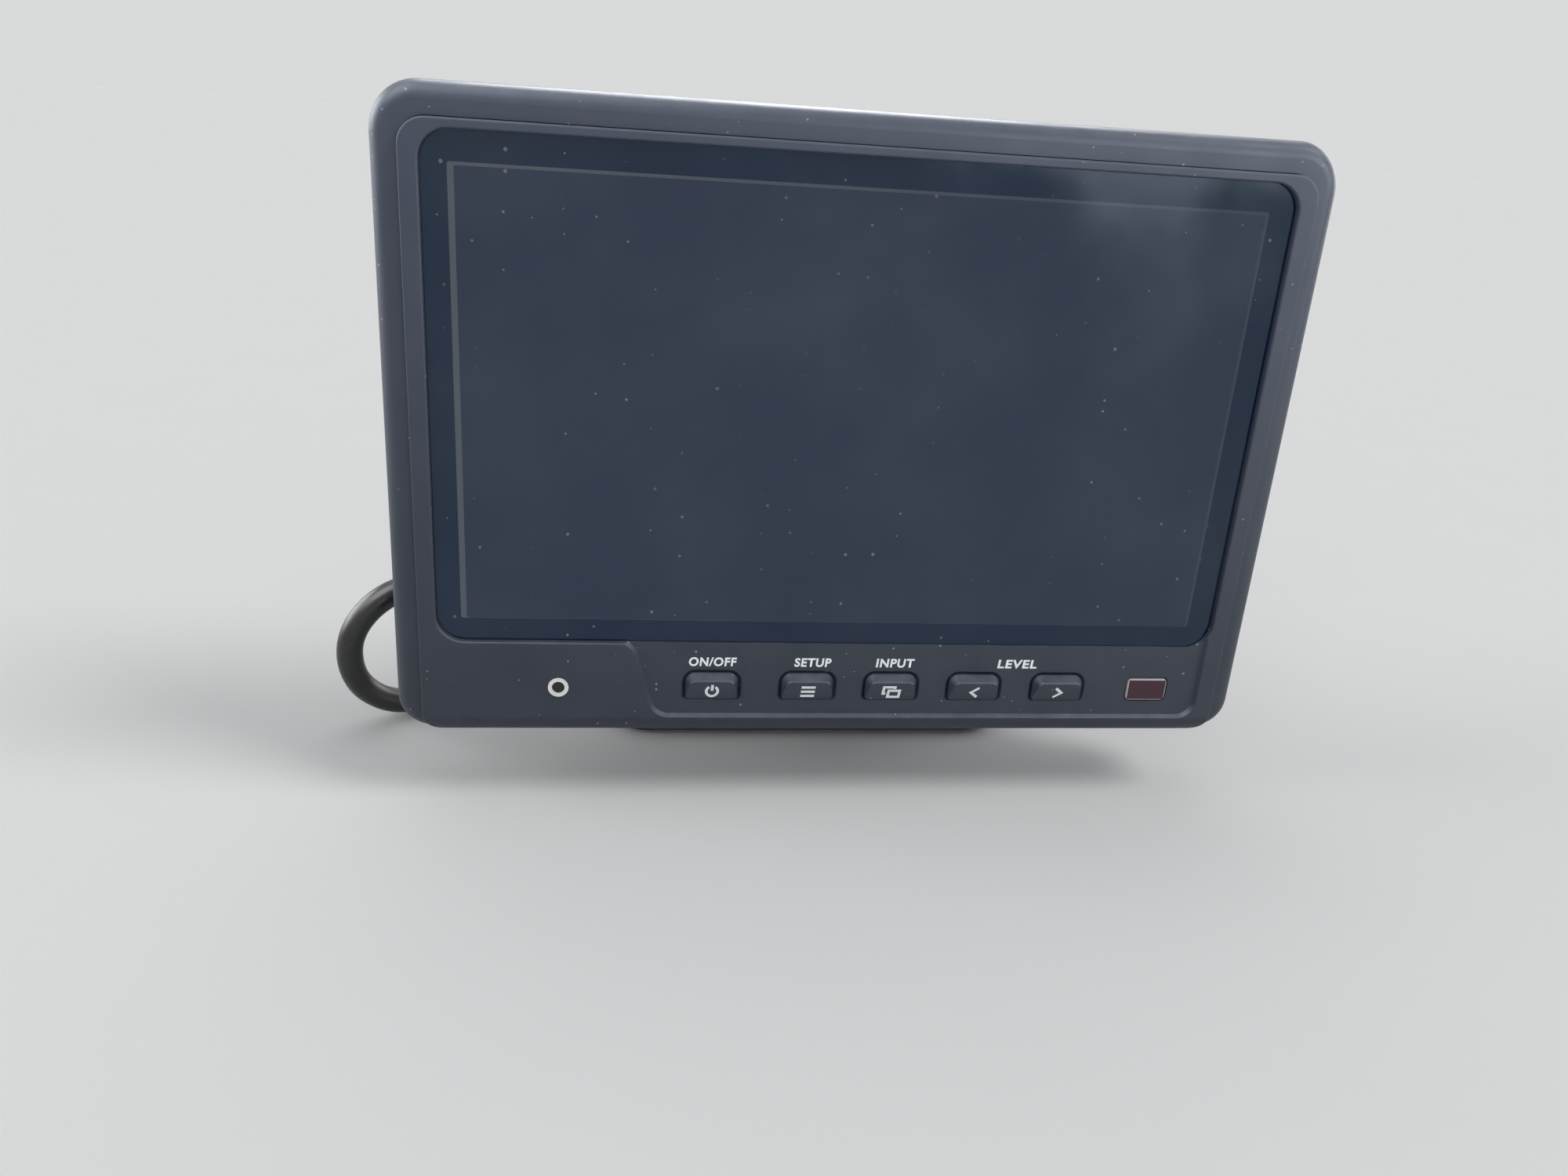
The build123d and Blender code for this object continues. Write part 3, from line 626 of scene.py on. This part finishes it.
# Words above the keys, generic ones in white: each word with its x and its width
LABEL_HEIGHT = -52.3
LABEL_CAP = 2.05
LABEL_SLANT = 0.08
LABEL_WEIGHT = 0.034
LABEL_SPACING = 1.12
LABELS = [
    ("ON/OFF", -26.4, 10.0),
    ("SETUP", -5.2, 7.9),
    ("INPUT", 12.6, 8.4),
    ("LEVEL", 39.6, 8.8),
]


def surface_tree(node_name):
    """Search tree over a CAD node's faces."""
    node = frame["nodes"][node_name]
    mesh = node.data
    points = [node.matrix_world @ vertex.co for vertex in mesh.vertices]
    return BVHTree.FromPolygons(points, [tuple(polygon.vertices) for polygon in mesh.polygons])


def lay_on_front(mesh, node_name):
    """Moves a flat mesh, drawn in x and z, onto a node's front, with a print's thickness."""
    tree = surface_tree(node_name)
    for vertex in mesh.vertices:
        start = Vector((vertex.co.x, FRONT_Y + RAY_FRONT * MM, vertex.co.z))
        surface = tree.ray_cast(start, Vector((0, 1, 0)))[0]
        vertex.co.y = surface.y - PRINT_T * MM


def word_mesh(word):
    """Mesh of a word, one unit high."""
    data = bpy.data.curves.new("label", "FONT")
    data.body = word
    data.align_x = "CENTER"
    data.align_y = "CENTER"
    data.size = 1.0
    data.shear = LABEL_SLANT
    data.offset = LABEL_WEIGHT
    data.space_character = LABEL_SPACING
    text = bpy.data.objects.new("label", data)
    bpy.context.scene.collection.objects.link(text)
    mesh = evaluated_mesh(text)
    bpy.data.objects.remove(text)
    return mesh


def make_labels():
    """White words above the keys."""
    for word, x, width in LABELS:
        mesh = word_mesh(word)
        xs = [vertex.co.x for vertex in mesh.vertices]
        ys = [vertex.co.y for vertex in mesh.vertices]
        wide = width * MM / (max(xs) - min(xs))
        high = LABEL_CAP * MM / (max(ys) - min(ys))
        for vertex in mesh.vertices:
            along = (vertex.co.x - (max(xs) + min(xs)) / 2) * wide
            up = (vertex.co.y - (max(ys) + min(ys)) / 2) * high
            vertex.co = (SCREEN.x + x * MM + along, 0, SCREEN.z + LABEL_HEIGHT * MM + up)
        lay_on_front(mesh, "front_bezel")
        label = bpy.data.objects.new("label_" + word.replace("/", "_").lower(), mesh)
        bpy.context.scene.collection.objects.link(label)
        finish_piece(label, "monitor", "keys", "print_white")


# Symbols on the keys: strokes in millimetres from the middle of each key's sloping face
STROKE = 0.58
SYMBOL_HEIGHT = -58.6
SYMBOL_STRETCH = 1.22
POWER_R = 1.2
POWER_GAP = 32.0
POWER_STEPS = 28
POWER_BAR_LOW, POWER_BAR_HIGH = POWER_R * 0.1, POWER_R * 1.3
BAR_HALF, BAR_PITCH = 1.5, 1.05
FRAME_HALF_W, FRAME_HALF_H = 1.2, 0.78
FRAME_STEP_X, FRAME_STEP_Y = 0.58, 0.42
CHEVRON_HALF_W, CHEVRON_HALF_H = 0.78, 1.15


def power_symbol():
    """Broken ring with a bar in its gap."""
    start, end = 90 + POWER_GAP, 450 - POWER_GAP
    angles = [math.radians(start + (end - start) * step / POWER_STEPS)
              for step in range(POWER_STEPS + 1)]
    ring = [(POWER_R * math.cos(angle), POWER_R * math.sin(angle)) for angle in angles]
    return [(ring, False), ([(0, POWER_BAR_LOW), (0, POWER_BAR_HIGH)], False)]


def menu_symbol():
    """Three bars."""
    return [([(-BAR_HALF, row * BAR_PITCH), (BAR_HALF, row * BAR_PITCH)], False)
            for row in (-1, 0, 1)]


def source_symbol():
    """Two overlapping frames, the one on the right in front."""
    left, right = -FRAME_STEP_X - FRAME_HALF_W, -FRAME_STEP_X + FRAME_HALF_W
    bottom, top = FRAME_STEP_Y - FRAME_HALF_H, FRAME_STEP_Y + FRAME_HALF_H
    behind = [(right, top - FRAME_STEP_Y), (right, top), (left, top), (left, bottom),
              (left + FRAME_STEP_X, bottom)]
    front = [(-right, -top), (-left, -top), (-left, -bottom), (-right, -bottom)]
    return [(behind, False), (front, True)]


def chevron(side):
    """Arrowhead that points to one side: -1 is left and 1 is right."""
    back = -side * CHEVRON_HALF_W
    return [([(back, CHEVRON_HALF_H), (-back, 0), (back, -CHEVRON_HALF_H)], False)]


SYMBOLS = {
    "button_power": power_symbol(),
    "button_menu": menu_symbol(),
    "button_source": source_symbol(),
    "button_down": chevron(-1),
    "button_up": chevron(1),
}


def ribbon(points, closed):
    """Vertices and faces of a stroke with mitred corners."""
    points = [Vector(point) for point in points]
    count = len(points)
    vertices = []
    for index, point in enumerate(points):
        sides = []
        for near, far in ((index - 1, index), (index, index + 1)):
            if closed or 0 <= near and far < count:
                along = (points[far % count] - points[near % count]).normalized()
                sides.append(Vector((-along.y, along.x)))
        side = sum(sides, Vector((0, 0))).normalized()
        reach = STROKE / 2 / side.dot(sides[0])
        vertices += [point + side * reach, point - side * reach]
    last = count if closed else count - 1
    total = 2 * count
    faces = [(2 * i, 2 * i + 1, (2 * i + 3) % total, (2 * i + 2) % total) for i in range(last)]
    return vertices, faces


def make_symbols():
    """White symbols on the sloping faces of the keys."""
    for node_name, strokes in SYMBOLS.items():
        low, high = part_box(node_name)
        middle = (low[0] + high[0]) / 2
        vertices, faces = [], []
        for points, closed in strokes:
            more, quads = ribbon(points, closed)
            faces += [tuple(index + len(vertices) for index in quad) for quad in quads]
            vertices += [(middle + v.x * MM, 0,
                          SCREEN.z + (SYMBOL_HEIGHT + v.y * SYMBOL_STRETCH) * MM) for v in more]
        symbol = mesh_object("symbol_" + node_name, vertices, faces)
        lay_on_front(symbol.data, node_name)
        finish_piece(symbol, "monitor", "keys", "print_white")


# Screws in the housing's back, at the bottom of their bores. A head has an upright edge,
# a dome in steps of 15 degrees, and two slots that cross.
SCREW_SIDES = {"left": -68.5, "right": 68.5}
SCREW_HEIGHTS = {"top": 36.4, "low": -48.2}
SCREW_HEAD_R = 2.55
SCREW_HEAD_H = 1.7
SCREW_EDGE_H = 0.8
SCREW_DOME_ANGLES = [math.radians(15 * step) for step in range(6)]
SCREW_SLOT_W = 0.7
SCREW_SLOT_L = 3.1
SCREW_SLOT_D = 1.0
SCREW_STEPS = 32


def lathe(name, profile):
    """Solid of revolution about z from points given as radius and height."""
    steps = SCREW_STEPS
    vertices, faces = [], []
    for radius, height in profile:
        for step in range(steps):
            angle = 2 * math.pi * step / steps
            vertices.append((radius * math.cos(angle) * MM, radius * math.sin(angle) * MM,
                             height * MM))
    for row in range(len(profile) - 1):
        faces += band(row * steps, (row + 1) * steps, steps)
    faces.append(tuple(reversed(range(steps))))
    faces.append(tuple(range((len(profile) - 1) * steps, len(profile) * steps)))
    return mesh_object(name, vertices, faces, smooth=True)


def cross_cutter():
    """Prism with a cross outline, as deep as a screw's recess."""
    half, arm = SCREW_SLOT_W / 2, SCREW_SLOT_L / 2
    outline = [(half, half), (half, arm), (-half, arm), (-half, half), (-arm, half),
               (-arm, -half), (-half, -half), (-half, -arm), (half, -arm), (half, -half),
               (arm, -half), (arm, half)]
    heights = (SCREW_HEAD_H - SCREW_SLOT_D, SCREW_HEAD_H + 1)
    vertices = [(x * MM, y * MM, z * MM) for z in heights for x, y in outline]
    count = len(outline)
    faces = band(0, count, count)
    faces.append(tuple(reversed(range(count))))
    faces.append(tuple(range(count, 2 * count)))
    return mesh_object("cross", vertices, faces)


def screw_mesh():
    """Pan head with a cross recess, about z."""
    dome = [(SCREW_HEAD_R * math.cos(angle),
             SCREW_EDGE_H + (SCREW_HEAD_H - SCREW_EDGE_H) * math.sin(angle))
            for angle in SCREW_DOME_ANGLES]
    head = lathe("screw", [(SCREW_HEAD_R, 0.0), *dome])
    cutter = cross_cutter()
    cut = head.modifiers.new("cross", "BOOLEAN")
    cut.object = cutter
    cut.operation = "DIFFERENCE"
    mesh = evaluated_mesh(head)
    bpy.data.objects.remove(head)
    bpy.data.objects.remove(cutter)
    return mesh


def make_screws():
    """A screw in each of the four bores. Each is turned by as many degrees as its height."""
    mesh = screw_mesh()
    tree = surface_tree("rear_housing")
    face_back = Matrix.Rotation(math.radians(-90), 4, "X")
    for side, x in SCREW_SIDES.items():
        for level, height in SCREW_HEIGHTS.items():
            place = on_screen(x, RAY_BACK, height)
            seat = tree.ray_cast(place, Vector((0, -1, 0)))[0]
            turn = Matrix.Rotation(math.radians(height), 4, "Z")
            screw = bpy.data.objects.new(f"screw_{side}_{level}", mesh.copy())
            screw.data.transform(Matrix.Translation(seat) @ face_back @ turn)
            bpy.context.scene.collection.objects.link(screw)
            finish_piece(screw, "monitor", "hardware_steel")


# Strap that ties the coil: where it lies, its width and thickness, the radius of its inner
# corners, how much thinner its edges are, and its rows of faces along the coil
TIE_ANGLE = 90.0
TIE_W = 9.0
TIE_T = 0.7
TIE_ROUND = 3.4
TIE_THINNER = 0.25
TIE_ROWS = 6


def make_tie():
    """Rubber strap round the coil's turns."""
    half = 2 * LEAD_R
    vertices, faces = [], []
    for row in range(TIE_ROWS + 1):
        angle = math.radians(TIE_ANGLE) + (row / TIE_ROWS - 0.5) * TIE_W / COIL_R
        out = Vector((math.cos(angle), math.sin(angle), 0))
        middle = Vector((*COIL_CENTRE, half)) + out * COIL_R
        thinner = TIE_THINNER if row in (0, TIE_ROWS) else 0.0
        for thickness in (TIE_T - thinner, 0.0):
            reach = half + thickness
            outline = rounded_outline((-reach, -reach, reach, reach), TIE_ROUND + thickness)
            for across, up in outline:
                point = middle + out * across
                point.z = max(0.0, point.z + up)
                vertices.append((point.x * MM, FRONT_Y + point.y * MM, point.z * MM))
    count = len(outline)
    last = 2 * TIE_ROWS * count
    for outer in range(0, last, 2 * count):
        inner = outer + count
        faces += band(outer, outer + 2 * count, count)
        faces += band(inner + 2 * count, inner, count)
    faces += band(count, 0, count) + band(last, last + count, count)
    tie = mesh_object("coil_tie", vertices, faces, smooth=True)
    finish_piece(tie, "stand", "lead_rubber", "strap_rubber")


# Floor and sky
FLOOR_HALF = 12.0
FLOOR_COLOUR = (0.70, 0.70, 0.695)
FLOOR_DARKER = 0.985
FLOOR_ROUGHNESS = 0.9
FLOOR_PATCH_MM = 40.0
SKY_COLOUR = (0.93, 0.97, 1.0)
SKY_STRENGTH = 0.42

# Lamps: where each one stands, how wide it looks in degrees, its strength, and whether it
# lights surfaces, shines in gloss, or does both
LAMPS = [
    ("key_lamp", (0.75, -0.30, 0.90), 24.0, 1.20, "both"),
    ("top_lamp", (-0.10, 0.50, 0.90), 60.0, 0.45, "both"),
    ("left_lamp", (-0.92, 0.05, 0.34), 36.0, 1.10, "both"),
    ("fill_lamp", (-0.42, -0.90, 0.46), 44.0, 0.55, "light"),
    ("rim_shine", (0.10, 0.62, 0.78), 28.0, 3.6, "shine"),
    ("side_shine", (0.85, 0.45, 0.04), 60.0, 2.6, "shine"),
    ("window_shine", (-0.45, -0.35, 0.82), 50.0, 3.0, "shine"),
    ("left_shine", (-0.85, 0.40, 0.20), 50.0, 3.0, "shine"),
    ("glass_shine", (0.64, -0.78, 0.06), 54.0, 3.8, "shine"),
]


def make_floor():
    """Pale floor with faint patches."""
    half = FLOOR_HALF
    corners = [(-half, -half, 0), (half, -half, 0), (half, half, 0), (-half, half, 0)]
    floor = mesh_object("floor", corners, [(0, 1, 2, 3)])
    shade = Shade("floor")
    shade.fix(Roughness=FLOOR_ROUGHNESS, Specular_IOR_Level=0.0)
    patches = shade.noise(FLOOR_PATCH_MM, detail=3.0)
    darker = times(FLOOR_COLOUR, FLOOR_DARKER)
    shade.to("Base Color", shade.colour(patches, FLOOR_COLOUR, darker))
    floor.data.materials.append(shade.material)


def make_lamps():
    """Soft studio light from broad, far lamps. Gives what they add to the light on the floor."""
    on_floor = 0.0
    for name, place, width, strength, does in LAMPS:
        data = bpy.data.lights.new(name, "SUN")
        data.angle = math.radians(width)
        data.energy = strength
        lamp = bpy.data.objects.new(name, data)
        lamp.location = place
        lamp.rotation_euler = Vector(place).to_track_quat("Z", "Y").to_euler()
        bpy.context.scene.collection.objects.link(lamp)
        lamp.visible_diffuse = does != "shine"
        lamp.visible_glossy = does != "light"
        if lamp.visible_diffuse:
            on_floor += strength * Vector(place).normalized().z / math.pi
    return on_floor


def make_sky(from_lamps):
    """Even light from all round; where it is seen or mirrored it looks like the far floor."""
    average = (1 + FLOOR_DARKER) / 2
    far_floor = [channel * average * (sky * SKY_STRENGTH + from_lamps)
                 for channel, sky in zip(FLOOR_COLOUR, SKY_COLOUR)]
    world = bpy.data.worlds.new("studio")
    world.use_nodes = True
    tree = world.node_tree
    light = tree.nodes["Background"]
    light.inputs["Color"].default_value = (*SKY_COLOUR, 1)
    light.inputs["Strength"].default_value = SKY_STRENGTH
    seen = tree.nodes.new("ShaderNodeBackground")
    seen.inputs["Color"].default_value = (*far_floor, 1)
    path = tree.nodes.new("ShaderNodeLightPath").outputs
    looked_at = path["Is Camera Ray"]
    for kind in ("Is Glossy Ray", "Is Transmission Ray"):
        either = tree.nodes.new("ShaderNodeMath")
        either.operation = "MAXIMUM"
        tree.links.new(looked_at, either.inputs[0])
        tree.links.new(path[kind], either.inputs[1])
        looked_at = either.outputs[0]
    mix = tree.nodes.new("ShaderNodeMixShader")
    tree.links.new(looked_at, mix.inputs[0])
    tree.links.new(light.outputs[0], mix.inputs[1])
    tree.links.new(seen.outputs[0], mix.inputs[2])
    tree.links.new(mix.outputs[0], tree.nodes["World Output"].inputs["Surface"])
    bpy.context.scene.world = world


make_camera()
make_lead()
dress_nodes()
make_display()
make_labels()
make_symbols()
make_screws()
make_tie()
make_floor()
make_sky(make_lamps())

bpy.context.scene.view_settings.view_transform = "Standard"
